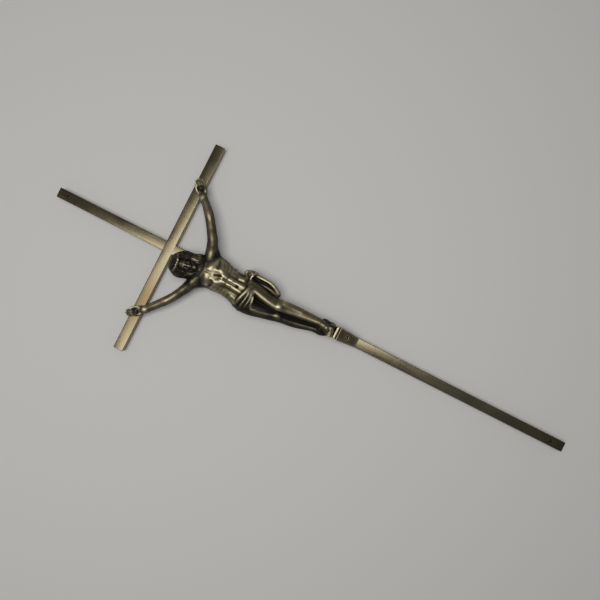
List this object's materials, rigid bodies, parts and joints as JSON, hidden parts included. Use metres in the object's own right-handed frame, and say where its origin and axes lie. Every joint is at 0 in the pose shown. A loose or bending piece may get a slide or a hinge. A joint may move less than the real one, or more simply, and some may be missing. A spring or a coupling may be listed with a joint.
{
  "type": "screw-on crucifix",
  "caption": "Long flat-bar metal cross with a cast figure, a footrest ramp and end holes, made to be screwed flat to a lid, board or wall.",
  "frame": {"origin": "centre of the crossing, on the flat back face of the bars", "axes": "+Y up the upright towards its top end, +X to the right seen from the front, +Z out of the front"},
  "size_m": [0.225, 0.56, 0.0352],
  "materials": {
    "brushed_bars": "brushed, antique-patinated, lacquered",
    "cast_figure": "cast, dark patina with rubbed highlights",
    "cast_footrest": "cast, dark patina with a rubbed edge",
    "fixings": "dull plated"
  },
  "bodies": {
    "root": {"upright_bar": "brushed_bars", "crossbar": "brushed_bars", "crossing_pin_left": "fixings", "crossing_pin_right": "fixings", "corpus": "cast_figure", "corpus_screw": "fixings", "left_hand_nail": "fixings", "right_hand_nail": "fixings", "foot_nail": "fixings", "footrest": "cast_footrest", "footrest_screw": "fixings"}
  },
  "joints": []
}
